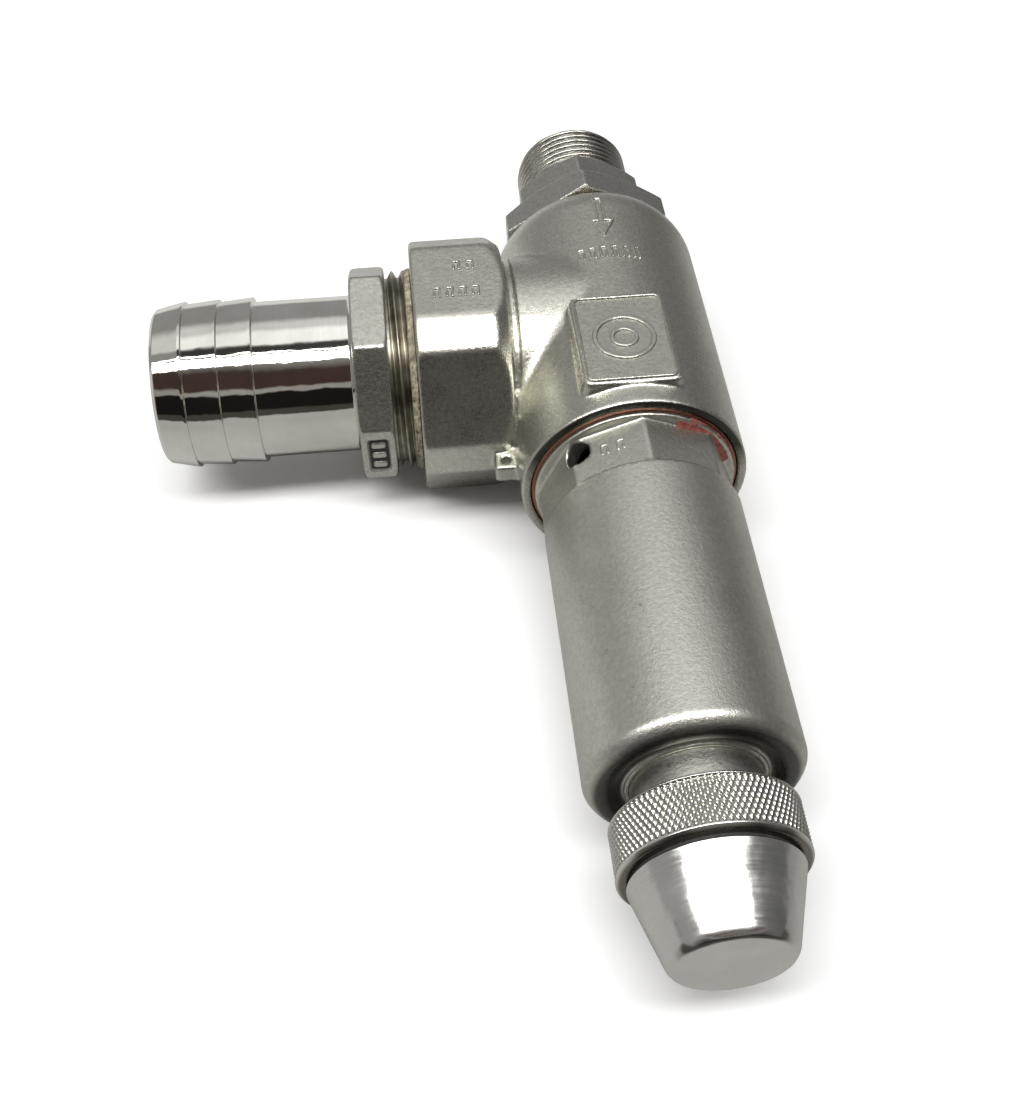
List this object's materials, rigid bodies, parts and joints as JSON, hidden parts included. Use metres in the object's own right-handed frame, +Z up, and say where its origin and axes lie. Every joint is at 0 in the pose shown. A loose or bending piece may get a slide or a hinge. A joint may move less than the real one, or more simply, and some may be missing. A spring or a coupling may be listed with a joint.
{
  "type": "pressure relief valve",
  "caption": "Angle-pattern spring-loaded pressure relief valve with threaded inlet, barbed outlet hose tail, cylindrical bonnet and knurled screw-lift cap.",
  "frame": {"origin": "on the spindle axis, midway along the male inlet thread", "axes": "+Y along the spindle and out of the inlet, -X out of the outlet hose tail, +Z up as the valve lies on its side with its name pad upward; the cap points along -Y"},
  "size_m": [0.1181, 0.206, 0.0506],
  "materials": {
    "blasted_steel": "bead-blasted stainless casting, fine grain, warm grey",
    "inlet_steel": "milled and turned stainless bar, light tool marks",
    "brushed_bonnet": "fine circumferential brushing with faint smudges",
    "polished_steel": "mirror-turned tube, satin collar",
    "polished_cap": "polished turned cap with concentric marks on its end",
    "knurled_steel": "crisp diamond knurl, bright lips",
    "neck_steel": "satin turned",
    "machined_steel": "turned",
    "polished_spindle": "ground and polished",
    "spring_steel": "drawn spring steel",
    "bronze": "turned bronze",
    "copper": "soft copper, dull",
    "rubber": "black elastomer",
    "sealant": "dried yellowish thread sealant",
    "lacquer": "dark red seal lacquer",
    "fibre_gasket": "pressed fibre"
  },
  "bodies": {
    "valve": {"valve_body": "blasted_steel", "inlet_connector": "inlet_steel", "inlet_gasket": "fibre_gasket", "seat_ring": "machined_steel", "hose_tail": "polished_steel", "thread_sealant": "sealant", "bonnet": "brushed_bonnet", "bonnet_gasket": "copper", "guide_plate": "machined_steel", "guide_bush": "bronze", "stem_oring": "rubber", "neck_bush": "neck_steel", "upper_spring_plate": "machined_steel", "adjusting_screw": "machined_steel", "lock_nut": "machined_steel", "spring": "spring_steel", "seal_lacquer": "lacquer"},
    "stem": {"valve_disc": "machined_steel", "disc_seal": "rubber", "seal_retainer": "machined_steel", "retainer_screw": "machined_steel", "drive_pin": "machined_steel", "spindle": "polished_spindle", "lower_spring_plate": "machined_steel", "lift_nut": "machined_steel", "spindle_clip": "spring_steel"},
    "lift_carrier": {"lift_washer": "machined_steel"},
    "cap_unit": {"knurled_ring": "knurled_steel", "cap": "polished_cap", "cap_seal": "rubber", "snap_ring": "spring_steel"}
  },
  "joints": [
    {"name": "cap_rise", "type": "slide", "parent": "valve", "child": "lift_carrier", "axis": [0, -1, 0], "range_m": [0, 0.0025], "deforming": ["spring"]},
    {"name": "cap_turn", "type": "hinge", "parent": "lift_carrier", "child": "cap_unit", "pos_m": [0, -0.17825, 0], "axis": [0, -1, 0], "range_deg": [0, 300]},
    {"name": "disc_lift", "type": "slide", "parent": "lift_carrier", "child": "stem", "axis": [0, -1, 0], "range_m": [0, 0.003], "stiffness_N_per_m": 2000, "springref_m": -0.006, "deforming": ["spring"]}
  ],
  "couplings": [
    {"joint": "cap_turn", "follows": "cap_rise", "rad_per_m": 2094.4}
  ]
}
